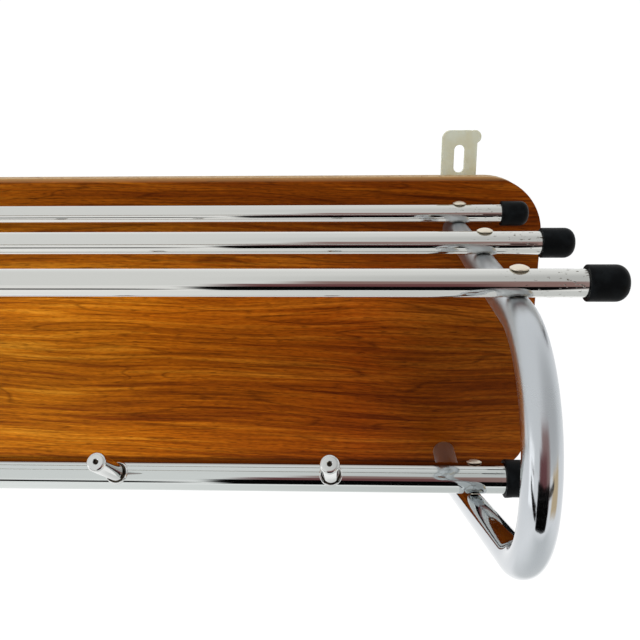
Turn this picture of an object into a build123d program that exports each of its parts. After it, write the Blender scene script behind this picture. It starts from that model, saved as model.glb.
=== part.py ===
from build123d import *
import os
from math import cos, pi, radians, sin, tan

# Wall-mounted coat rack with a hat shelf: a veneered board, two bent tube brackets, three
# hat rails above, and one hook rail with four coat pegs below.
# Millimetres. X runs along the rack, with X = 0 at its middle. Y = 0 is the wall side of the
# board, and the rack stands out towards -Y. Z = 0 is the middle of the board's height.

# ---- Board -------------------------------------------------------------------------------
board_length = 794.0
board_height = 265.0
core_thickness = 13.0
facing_thickness = 0.6
top_corner_radius = 48.0
bottom_corner_radius = 24.0

# ---- Brackets: one bent tube each, out from the board, down the nose and back -------------
bracket_spacing = 650.0
bracket_diameter = 19.0
bracket_wall = 1.5
bracket_reach = 310.0
lower_arm_angle = 20.15
foot_above_board_bottom = 15.5
heel_length = 47.0
heel_radius = 60.0
chin_radius = 56.0
nose_straight = 1.0

# ---- Hat rails: offsets run from the board's face to the rail's axis ------------------------
rail_diameter = 15.0
rail_wall = 1.2
rail_seat_depth = 1.1
rail_below_board_top = 26.3
rear_rail_offset = 22.0
middle_rail_offset = 135.0

# ---- Hook rail: its station is measured up the lower arm from the heel ---------------------
hook_rail_diameter = 21.3
hook_rail_wall = 1.2
hook_seat_depth = 0.3
hook_rail_station = 118.2

# ---- Coat pegs: the reach is from the hook rail's axis to the peg's tip --------------------
peg_count = 4
peg_pitch = 150.0
peg_angle = 38.0
peg_reach = 56.0
peg_tip_diameter = 12.8
peg_root_diameter = 11.4
peg_tip_round = 2.2
peg_dimple_diameter = 2.6
peg_dimple_depth = 1.6
peg_collar_diameter = 16.0
peg_collar_bore = 13.8
peg_collar_height = 1.1
peg_collar_floor = 0.5

# ---- Push-on end caps: each starts this far outboard of the bracket's plane ----------------
rail_cap_starts = {"rear": 32.8, "middle": 36.2, "front": 34.8}
rail_cap_length = 21.5
rail_cap_wall = 2.2
rail_cap_round = 6.6
hook_cap_start = 20.5
hook_cap_length = 26.5
hook_cap_wall = 2.6
hook_cap_round = 7.5
cap_end_thickness = 2.5
cap_lip_round = 0.6

# ---- Rivets -------------------------------------------------------------------------------
rivet_head_diameter = 10.2
rivet_head_height = 2.4
rivet_rim_height = 0.8
rivet_shank_diameter = 5.0
rivet_tail_diameter = 7.0
rivet_tail_height = 1.8

# ---- Screws, and the threaded plugs in the bracket tubes' ends -----------------------------
bracket_screw_diameter = 6.0
bracket_screw_head = 12.0
bracket_screw_grip = 13.0
plug_length = 18.0
peg_screw_diameter = 4.0
peg_screw_head = 7.6
peg_screw_head_height = 2.4
peg_screw_grip = 12.0
hanger_screw_diameter = 3.5
hanger_screw_head = 6.6
hanger_screw_length = 7.4
drive_slot_width = 1.1
drive_slot_depth = 0.9
countersink_angle = 90.0

# ---- Hangers: moulded tabs let into the back of the board ---------------------------------
hanger_width = 29.0
hanger_thickness = 2.5
hanger_rise = 36.3
hanger_tail = 30.0
hanger_outboard_shift = 3.0
hanger_corner_radius = 7.0
hanger_slot_width = 8.3
hanger_slot_start = 2.2
hanger_slot_end = 24.5
hanger_nub_radius = 5.4
hanger_nub_overhang = 3.0
hanger_edge_round = 0.6
hanger_screw_drops = (8.5, 21.5)

# ---- Fits, each on the radius or on one side -----------------------------------------------
shank_clearance = 0.1
thread_clearance = 0.05
plug_clearance = 0.05
cap_clearance = 0.05
seat_clearance = 0.05
pocket_clearance = 0.25

# ---- Places that follow from the sizes above ----------------------------------------------
board_front = -(core_thickness + 2 * facing_thickness)
board_top = board_height / 2
sides = {"left": -1, "right": 1}
bracket_planes = {name: side * bracket_spacing / 2 for name, side in sides.items()}

rail_height = board_top - rail_below_board_top
rail_seat_gap = (rail_diameter + bracket_diameter) / 2 - rail_seat_depth
arm_height = rail_height - rail_seat_gap
foot_height = foot_above_board_bottom - board_height / 2
tube_end_heights = {"upper": arm_height, "lower": foot_height}

# The chin's bend takes its tangent length from the nose, and the shoulder's bend the rest
lower_arm_slope = radians(lower_arm_angle)
nose_y = board_front - bracket_reach
heel_y = board_front - heel_length
chin_height = foot_height + (heel_y - nose_y) * tan(lower_arm_slope)
chin_tangent = chin_radius * tan((pi / 2 - lower_arm_slope) / 2)
shoulder_radius = arm_height - chin_height - chin_tangent - nose_straight

# The front rail rides where the shoulder's bend begins, clear of it by half a rivet's tail
rail_offsets = {
    "rear": rear_rail_offset,
    "middle": middle_rail_offset,
    "front": bracket_reach - shoulder_radius - rivet_tail_diameter / 2,
}
rail_places = {name: board_front - offset for name, offset in rail_offsets.items()}

arm_normal = Vector(0, sin(lower_arm_slope), cos(lower_arm_slope))
hook_seat = Vector(
    0,
    heel_y - hook_rail_station * cos(lower_arm_slope),
    foot_height + hook_rail_station * sin(lower_arm_slope),
)
hook_seat_gap = (hook_rail_diameter + bracket_diameter) / 2 - hook_seat_depth
hook_rail_axis = hook_seat + arm_normal * hook_seat_gap

peg_direction = Vector(0, -cos(radians(peg_angle)), sin(radians(peg_angle)))
peg_places = [(index - (peg_count - 1) / 2) * peg_pitch for index in range(peg_count)]

hanger_places = {
    name: side * (bracket_spacing / 2 + hanger_outboard_shift) for name, side in sides.items()
}

os.makedirs("parts", exist_ok=True)


def save(part, name):
    """Label a finished piece and write it as its own node."""
    part.label = name
    export_step(part, f"parts/{name}.step")


def plane_across(x, y, z, facing=1):
    """A plane square to X, facing +X or -X."""
    return Plane(origin=(x, y, z), x_dir=(0, 1, 0), z_dir=(facing, 0, 0))


def plane_on_back(x, z):
    """A plane on the board's back, facing the wall."""
    return Plane(origin=(x, 0, z), x_dir=(1, 0, 0), z_dir=(0, 1, 0))


def plane_on_rail(x, y, rise):
    """A level plane, a rise above a hat rail's axis."""
    return Plane(origin=(x, y, rail_height + rise))


def plane_on_seat(x, rise):
    """A plane square to the lower arm's normal, a rise above the hook rail's axis."""
    return Plane(origin=hook_rail_axis + arm_normal * rise + Vector(x), x_dir=(1, 0, 0), z_dir=arm_normal)


def plane_on_peg(x, distance):
    """A plane square to a peg, a distance out from the hook rail's axis."""
    origin = hook_rail_axis + peg_direction * distance + Vector(x)
    return Plane(origin=origin, x_dir=(1, 0, 0), z_dir=peg_direction)


bracket_screw_planes = [
    plane_on_back(x, z) for x in bracket_planes.values() for z in tube_end_heights.values()
]
hanger_screw_planes = [
    plane_on_back(x, board_top - drop) for x in hanger_places.values() for drop in hanger_screw_drops
]

# ---- Board: liner, core and face veneer, from the wall outwards ----------------------------
hanger_screw_hole = hanger_screw_diameter / 2 + thread_clearance
board_layers = {
    "back_liner": (0.0, facing_thickness),
    "board_core": (facing_thickness, core_thickness),
    "front_veneer": (facing_thickness + core_thickness, facing_thickness),
}
for name, (depth_from_back, thickness) in board_layers.items():
    with BuildPart() as layer:
        with BuildSketch(Plane.XZ.offset(depth_from_back)) as outline:
            Rectangle(board_length, board_height)
            fillet(outline.vertices().group_by(Axis.Y)[-1], top_corner_radius)
            fillet(outline.vertices().group_by(Axis.Y)[0], bottom_corner_radius)
        extrude(amount=thickness)
        with Locations(*bracket_screw_planes):
            CounterSinkHole(
                bracket_screw_diameter / 2 + shank_clearance,
                bracket_screw_head / 2 + shank_clearance,
                counter_sink_angle=countersink_angle,
            )
        if depth_from_back < hanger_thickness:
            # The hangers' pockets, open at the board's top edge
            for x in hanger_places.values():
                with BuildSketch(Plane.XZ):
                    with Locations((x, board_top - hanger_tail - pocket_clearance)):
                        Rectangle(
                            hanger_width + 2 * pocket_clearance,
                            2 * (hanger_tail + pocket_clearance),
                            align=(Align.CENTER, Align.MIN),
                        )
                extrude(amount=hanger_thickness, mode=Mode.SUBTRACT)
            with Locations(*hanger_screw_planes):
                Hole(hanger_screw_hole, depth=hanger_screw_length)
    save(layer.part, name)

# ---- Hangers --------------------------------------------------------------------------------
for name, side in sides.items():
    centre = hanger_places[name]
    with BuildPart() as hanger:
        with BuildSketch(Plane.XZ) as tab:
            with Locations((centre, board_top - hanger_tail)):
                Rectangle(hanger_width, hanger_tail + hanger_rise, align=(Align.CENTER, Align.MIN))
            fillet(tab.vertices().group_by(Axis.Y)[-1], hanger_corner_radius)
            nub_x = centre + side * (hanger_width / 2 + hanger_nub_overhang - hanger_nub_radius)
            with Locations((nub_x, board_top + hanger_rise - hanger_nub_radius)):
                Circle(hanger_nub_radius)
            with Locations((centre, board_top + (hanger_slot_start + hanger_slot_end) / 2)):
                SlotOverall(
                    hanger_slot_end - hanger_slot_start,
                    hanger_slot_width,
                    rotation=90,
                    mode=Mode.SUBTRACT,
                )
        extrude(amount=hanger_thickness)
        fillet(hanger.faces().filter_by(Axis.Y).edges(), hanger_edge_round)
        with Locations(*[plane_on_back(centre, board_top - drop) for drop in hanger_screw_drops]):
            CounterSinkHole(
                hanger_screw_diameter / 2 + shank_clearance,
                hanger_screw_head / 2 + shank_clearance,
                counter_sink_angle=countersink_angle,
            )
    save(hanger.part, f"hanger_{name}")


# ---- Countersunk screws, driven from the back ------------------------------------------------
def countersunk_screw(head_diameter, shank_diameter, length):
    """A slotted countersunk screw, its head's top at the origin and its shank along -Z."""
    head_depth = (head_diameter - shank_diameter) / 2
    with BuildPart() as screw:
        with BuildSketch(Plane.XZ):
            with BuildLine():
                Polyline(
                    (0, 0),
                    (head_diameter / 2, 0),
                    (shank_diameter / 2, -head_depth),
                    (shank_diameter / 2, -length),
                    (0, -length),
                    close=True,
                )
            make_face()
        revolve(axis=Axis.Z)
        Box(head_diameter, drive_slot_width, 2 * drive_slot_depth, mode=Mode.SUBTRACT)
    return screw.part


bracket_screw = countersunk_screw(
    bracket_screw_head, bracket_screw_diameter, bracket_screw_grip - board_front
)
with BuildPart() as bracket_screws:
    with Locations(*bracket_screw_planes):
        add(bracket_screw)
save(bracket_screws.part, "bracket_screws")

hanger_screw = countersunk_screw(hanger_screw_head, hanger_screw_diameter, hanger_screw_length)
with BuildPart() as hanger_screws:
    with Locations(*hanger_screw_planes):
        add(hanger_screw)
save(hanger_screws.part, "hanger_screws")

# ---- Brackets, and the threaded plugs in their ends ------------------------------------------
rivet_hole = rivet_shank_diameter / 2 + shank_clearance
for name, x in bracket_planes.items():
    with BuildPart() as bracket:
        with BuildLine(plane_across(x, 0, 0)):
            centreline = FilletPolyline(
                (board_front, arm_height),
                (nose_y, arm_height),
                (nose_y, chin_height),
                (heel_y, foot_height),
                (board_front, foot_height),
                radius=(shoulder_radius, chin_radius, heel_radius),
            )
        with BuildSketch(Plane(origin=centreline @ 0, x_dir=(1, 0, 0), z_dir=centreline % 0)):
            Circle(bracket_diameter / 2)
            Circle(bracket_diameter / 2 - bracket_wall, mode=Mode.SUBTRACT)
        sweep()
        # Shallow seats, where each rail beds into the tube
        with Locations(*[plane_across(x, y, rail_height) for y in rail_places.values()]):
            Cylinder(
                rail_diameter / 2 + seat_clearance, 2 * bracket_diameter, mode=Mode.SUBTRACT
            )
        with Locations(plane_across(x, hook_rail_axis.Y, hook_rail_axis.Z)):
            Cylinder(
                hook_rail_diameter / 2 + seat_clearance, 2 * bracket_diameter, mode=Mode.SUBTRACT
            )
        with Locations(*[plane_on_rail(x, y, 0) for y in rail_places.values()]):
            Hole(rivet_hole, depth=rail_seat_gap + bracket_diameter)
        with Locations(plane_on_seat(x, 0)):
            Hole(rivet_hole, depth=hook_seat_gap + bracket_diameter)
    save(bracket.part, f"bracket_{name}")

    for end, z in tube_end_heights.items():
        with BuildPart() as plug:
            with BuildSketch(Plane.XZ.offset(-board_front)):
                with Locations((x, z)):
                    Circle(bracket_diameter / 2 - bracket_wall - plug_clearance)
                    Circle(bracket_screw_diameter / 2 + thread_clearance, mode=Mode.SUBTRACT)
            extrude(amount=plug_length)
        save(plug.part, f"tube_plug_{name}_{end}")


# ---- Rails and their end caps -----------------------------------------------------------------
def rail_tube(diameter, wall, cap_reach, y, z):
    """A round tube along X, long enough to meet the end of each of its caps."""
    half_length = bracket_spacing / 2 + cap_reach - cap_end_thickness
    with BuildPart() as tube:
        with BuildSketch(plane_across(-half_length, y, z)):
            Circle(diameter / 2)
            Circle(diameter / 2 - wall, mode=Mode.SUBTRACT)
        extrude(amount=2 * half_length)
    return tube.part


def end_cap(side, tube_diameter, start, length, wall, rounding, y, z):
    """A push-on cap with a domed end; side is -1 at the left end and 1 at the right."""
    mouth = plane_across(side * (bracket_spacing / 2 + start), y, z, facing=side)
    bore_radius = tube_diameter / 2 + cap_clearance
    with BuildPart() as cap:
        with BuildSketch(mouth):
            Circle(bore_radius + wall)
        extrude(amount=length)
        by_reach = cap.faces().sort_by(Axis((0, 0, 0), (side, 0, 0)))
        fillet(by_reach[-1].edges(), rounding)
        fillet(by_reach[0].edges(), cap_lip_round)
        with BuildSketch(mouth):
            Circle(bore_radius)
        extrude(amount=length - cap_end_thickness, mode=Mode.SUBTRACT)
    return cap.part


for name, y in rail_places.items():
    cap_start = rail_cap_starts[name]
    with BuildPart() as hat_rail:
        add(rail_tube(rail_diameter, rail_wall, cap_start + rail_cap_length, y, rail_height))
        with Locations(*[plane_on_rail(x, y, 0) for x in bracket_planes.values()]):
            Hole(rivet_hole, depth=rail_diameter)
    save(hat_rail.part, f"hat_rail_{name}")

    for side_name, side in sides.items():
        rail_cap = end_cap(
            side, rail_diameter, cap_start, rail_cap_length, rail_cap_wall, rail_cap_round,
            y, rail_height,
        )
        save(rail_cap, f"hat_rail_cap_{name}_{side_name}")

with BuildPart() as hook_rail:
    add(
        rail_tube(
            hook_rail_diameter, hook_rail_wall, hook_cap_start + hook_cap_length,
            hook_rail_axis.Y, hook_rail_axis.Z,
        )
    )
    with Locations(*[plane_on_seat(x, 0) for x in bracket_planes.values()]):
        Hole(rivet_hole, depth=hook_rail_diameter)
    with Locations(*[plane_on_peg(x, 0) for x in peg_places]):
        Hole(peg_screw_diameter / 2 + shank_clearance, depth=hook_rail_diameter)
save(hook_rail.part, "hook_rail")

for side_name, side in sides.items():
    hook_cap = end_cap(
        side, hook_rail_diameter, hook_cap_start, hook_cap_length, hook_cap_wall, hook_cap_round,
        hook_rail_axis.Y, hook_rail_axis.Z,
    )
    save(hook_cap, f"hook_rail_cap_{side_name}")


# ---- Rivets, each through a rail and the arm under it -----------------------------------------
def rivet(grip):
    """A domed rivet, its head's underside at the origin and its tail a grip below."""
    with BuildPart() as body:
        with BuildSketch(Plane.XZ):
            with BuildLine():
                crown = (0, rivet_head_height)
                rim = (rivet_head_diameter / 2, rivet_rim_height)
                TangentArc(crown, rim, tangent=(1, 0))
                Polyline(
                    rim,
                    (rivet_head_diameter / 2, 0),
                    (rivet_shank_diameter / 2, 0),
                    (rivet_shank_diameter / 2, -grip),
                    (rivet_tail_diameter / 2, -grip),
                    (rivet_tail_diameter / 2, -grip - rivet_tail_height),
                    (0, -grip - rivet_tail_height),
                    crown,
                )
            make_face()
        revolve(axis=Axis.Z)
    return body.part


hat_rail_rivet = rivet(rail_diameter + bracket_diameter - rail_seat_depth)
with BuildPart() as hat_rail_rivets:
    with Locations(
        *[
            plane_on_rail(x, y, rail_diameter / 2)
            for x in bracket_planes.values()
            for y in rail_places.values()
        ]
    ):
        add(hat_rail_rivet)
save(hat_rail_rivets.part, "hat_rail_rivets")

hook_rail_rivet = rivet(hook_rail_diameter + bracket_diameter - hook_seat_depth)
with BuildPart() as hook_rail_rivets:
    with Locations(*[plane_on_seat(x, hook_rail_diameter / 2) for x in bracket_planes.values()]):
        add(hook_rail_rivet)
save(hook_rail_rivets.part, "hook_rail_rivets")

# ---- Coat pegs, and the screws that hold them from behind the hook rail -----------------------
hook_rail_radius = hook_rail_diameter / 2


def peg_ring(x, diameter, bore, height):
    """A ring round a peg's root, curved to lie on the hook rail, a height above its surface."""
    with BuildPart() as ring:
        with Locations(plane_across(x, hook_rail_axis.Y, hook_rail_axis.Z)):
            Cylinder(hook_rail_radius + height, 2 * diameter)
        with BuildSketch(plane_on_peg(x, 0)):
            Circle(diameter / 2)
            Circle(bore / 2, mode=Mode.SUBTRACT)
        extrude(amount=peg_reach, mode=Mode.INTERSECT)
    return ring.part


for number, x in enumerate(peg_places, start=1):
    with BuildPart() as peg:
        with BuildSketch(plane_on_peg(x, 0)):
            Circle(peg_root_diameter / 2)
        with BuildSketch(plane_on_peg(x, peg_reach)):
            Circle(peg_tip_diameter / 2)
        loft()
        tip = peg.faces().sort_by(Axis((0, 0, 0), peg_direction))[-1]
        fillet(tip.edges(), peg_tip_round)
        # A thin collar at the root, its rim raised so that a groove runs round the peg
        add(peg_ring(x, peg_collar_diameter, peg_screw_diameter, peg_collar_floor))
        add(peg_ring(x, peg_collar_diameter, peg_collar_bore, peg_collar_height))
        with Locations(plane_on_peg(x, peg_reach)):
            Cone(
                0, peg_dimple_diameter / 2, peg_dimple_depth,
                align=(Align.CENTER, Align.CENTER, Align.MAX), mode=Mode.SUBTRACT,
            )
        with Locations(plane_across(x, hook_rail_axis.Y, hook_rail_axis.Z)):
            Cylinder(hook_rail_radius + seat_clearance, 2 * peg_tip_diameter, mode=Mode.SUBTRACT)
        with Locations(plane_on_peg(x, hook_rail_radius)):
            Hole(peg_screw_diameter / 2 + thread_clearance, depth=peg_screw_grip + shank_clearance)
    save(peg.part, f"coat_peg_{number}")

with BuildPart() as peg_screw:
    with BuildSketch(Plane.XY):
        Circle(peg_screw_head / 2)
    extrude(amount=-peg_screw_head_height)
    fillet(peg_screw.faces().sort_by(Axis.Z)[0].edges(), peg_screw_head_height / 2)
    with Locations((0, 0, -peg_screw_head_height)):
        Box(peg_screw_head, drive_slot_width, 2 * drive_slot_depth, mode=Mode.SUBTRACT)
    with BuildSketch(Plane.XY):
        Circle(peg_screw_diameter / 2)
    extrude(amount=hook_rail_diameter + peg_screw_grip)
with BuildPart() as peg_screws:
    with Locations(*[plane_on_peg(x, -hook_rail_radius) for x in peg_places]):
        add(peg_screw.part)
save(peg_screws.part, "peg_screws")
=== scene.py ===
import logging
from abc import ABC, abstractmethod
from dataclasses import dataclass, replace
from enum import Enum
from math import asin, cos, degrees, pi, radians, sin, sqrt, tan
from typing import Any

import bmesh
import bpy
from mathutils import Matrix, Vector


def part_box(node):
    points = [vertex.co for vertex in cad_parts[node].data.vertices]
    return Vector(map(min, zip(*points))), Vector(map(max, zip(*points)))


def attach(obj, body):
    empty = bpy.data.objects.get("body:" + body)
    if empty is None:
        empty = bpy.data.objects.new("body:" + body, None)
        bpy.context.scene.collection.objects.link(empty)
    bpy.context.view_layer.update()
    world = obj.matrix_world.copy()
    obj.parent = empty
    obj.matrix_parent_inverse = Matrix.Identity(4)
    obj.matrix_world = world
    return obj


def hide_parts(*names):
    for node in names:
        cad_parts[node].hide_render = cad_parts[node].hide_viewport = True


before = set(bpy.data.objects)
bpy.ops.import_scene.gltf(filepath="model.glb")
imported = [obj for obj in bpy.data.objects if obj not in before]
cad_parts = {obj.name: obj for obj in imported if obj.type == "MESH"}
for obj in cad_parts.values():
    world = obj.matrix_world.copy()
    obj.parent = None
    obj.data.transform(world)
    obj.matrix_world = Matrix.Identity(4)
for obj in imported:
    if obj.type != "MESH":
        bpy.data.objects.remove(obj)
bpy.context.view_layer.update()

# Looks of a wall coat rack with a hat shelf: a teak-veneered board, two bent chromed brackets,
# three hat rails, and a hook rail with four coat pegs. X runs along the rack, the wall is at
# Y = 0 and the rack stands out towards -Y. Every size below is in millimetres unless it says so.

log = logging.getLogger("coat_rack")

MM = 0.001
BODY = "root"
ROUND_SEGMENTS = 96
SMALL_ROUND_SEGMENTS = 64
SHARP_ANGLE = radians(38)
NOWHERE = 10_000.0  # a place far past the rack, where an effect never starts

Tree = bpy.types.NodeTree
Socket = bpy.types.NodeSocket
Shape = bmesh.types.BMesh
Colour = tuple[float, float, float, float]
Point = tuple[float, float, float]

WHITE: Colour = (1.0, 1.0, 1.0, 1.0)


class Side(Enum):
    """The two ends of the rack, with the sign of their X."""

    LEFT = -1
    RIGHT = 1

    @property
    def word(self) -> str:
        """The side's name as the CAD nodes spell it."""
        return self.name.lower()


class Shelf(Enum):
    """The three hat rails, from the wall outwards."""

    REAR = "rear"
    MIDDLE = "middle"
    FRONT = "front"


# ---- Colours and nodes -------------------------------------------------------------------------
def srgb(code: str) -> Colour:
    """Turns an sRGB hex value into a linear colour.

    Args:
        code: Six hex digits, with or without a leading hash.

    Returns:
        Linear red, green and blue, with an alpha of 1.
    """
    digits = code.lstrip("#")
    shares = [int(digits[i : i + 2], 16) / 255 for i in (0, 2, 4)]
    linear = [s / 12.92 if s <= 0.04045 else ((s + 0.055) / 1.055) ** 2.4 for s in shares]
    return (*linear, 1.0)


def per_mm(size: float) -> float:
    """The pattern scale, per metre, of a feature that is so many millimetres across."""
    return 1000.0 / size


def add_node(
    tree: Tree,
    kind: str,
    inputs: dict[str | int, Any] | None = None,
    stops: list[tuple[float, Colour]] | None = None,
    **settings: Any,
) -> bpy.types.Node:
    """Adds a node with its settings, colour stops and links.

    Args:
        tree: The node tree that gets the node.
        kind: Blender's name for the node's type.
        inputs: A value or a socket to link, for each input's name or number.
        stops: A colour ramp's places and colours.
        **settings: The node's own attributes.

    Returns:
        The new node.
    """
    node = tree.nodes.new(kind)
    for key, value in settings.items():
        setattr(node, key, value)
    for key, value in (inputs or {}).items():
        if isinstance(value, Socket):
            tree.links.new(value, node.inputs[key])
        else:
            node.inputs[key].default_value = value
    for index, (place, colour) in enumerate(stops or []):
        ramp = node.color_ramp.elements
        stop = ramp[index] if index < len(ramp) else ramp.new(place)
        stop.position = place
        stop.color = colour
    return node


def grey(value: float) -> Colour:
    """A neutral linear colour."""
    return (value, value, value, 1.0)


def empty_tree(owner: bpy.types.Material | bpy.types.World) -> Tree:
    """The node tree of a material or a world, switched on and cleared."""
    owner.use_nodes = True
    owner.node_tree.nodes.clear()
    return owner.node_tree


def make_object(bm: Shape, name: str, material: bpy.types.Material) -> bpy.types.Object:
    """Turns a bmesh into an object at the scene's origin.

    Args:
        bm: The shape, in metres, where it belongs; it is freed.
        name: The name of the object and its mesh.
        material: The material that covers it.

    Returns:
        The object.
    """
    mesh = bpy.data.meshes.new(name)
    bm.to_mesh(mesh)
    bm.free()
    mesh.materials.append(material)
    made = bpy.data.objects.new(name, mesh)
    bpy.context.scene.collection.objects.link(made)
    return made


# ---- Finishes ----------------------------------------------------------------------------------
@dataclass(frozen=True)
class Finish(ABC):
    """A surface finish: a material that is made once and shared by the pieces that wear it."""

    name: str

    def material(self) -> bpy.types.Material:
        """Makes the material, or finds the one made before.

        Returns:
            The material with this finish's name.
        """
        found = bpy.data.materials.get(self.name)
        if found:
            return found
        made = bpy.data.materials.new(self.name)
        tree = empty_tree(made)
        place = add_node(tree, "ShaderNodeTexCoord").outputs["Object"]
        shader = self.shader(tree, place)
        add_node(tree, "ShaderNodeOutputMaterial", {"Surface": shader.outputs[0]})
        return made

    @abstractmethod
    def shader(self, tree: Tree, place: Socket) -> bpy.types.Node:
        """Builds the finish's nodes.

        Args:
            tree: The material's node tree.
            place: The Object coordinates.

        Returns:
            The shader node that covers the surface.
        """

    def dress(self, piece: bpy.types.Object) -> None:
        """Gives the piece this finish, in place of any it had."""
        piece.data.materials.clear()
        piece.data.materials.append(self.material())


def noise(
    tree: Tree,
    place: Socket,
    size: tuple[float, float, float],
    detail: float = 2.0,
    distortion: float = 0.0,
    offset: Point = (0.0, 0.0, 0.0),
) -> Socket:
    """A noise whose blotches have a real size along each axis.

    Args:
        tree: The material's node tree.
        place: The coordinates, in metres.
        size: The blotches' length along X, Y and Z, in millimetres.
        detail: Octaves of finer noise.
        distortion: How far the pattern is warped.
        offset: A shift, in blotches, that sets this noise apart from another.

    Returns:
        The noise's value, about 0.5 on average.
    """
    mapped = add_node(
        tree, "ShaderNodeMapping",
        {"Vector": place, "Scale": [per_mm(s) for s in size], "Location": offset},
    )
    texture = add_node(
        tree, "ShaderNodeTexNoise",
        {"Vector": mapped.outputs[0], "Scale": 1.0, "Detail": detail, "Distortion": distortion},
    )
    return texture.outputs[0]


def mark(
    tree: Tree,
    value: Socket,
    band: tuple[float, float],
    shares: tuple[float, float],
    under: Socket | Colour,
    colour: str,
) -> Socket:
    """Lays a colour over another, more or less of it as a value changes.

    Args:
        tree: The material's node tree.
        value: The value that decides.
        band: The two values between which the share changes.
        shares: How much of the colour shows at each of them.
        under: The colour below.
        colour: The colour on top, as sRGB hex.

    Returns:
        The mixed colour.
    """
    low, high = band
    first, last = shares
    share = add_node(
        tree, "ShaderNodeMapRange",
        {"Value": value, "From Min": low, "From Max": high, "To Min": first, "To Max": last},
    )
    mixed = add_node(
        tree, "ShaderNodeMix", {0: share.outputs[0], 6: under, 7: srgb(colour)}, data_type="RGBA",
    )
    return mixed.outputs[2]


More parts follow.
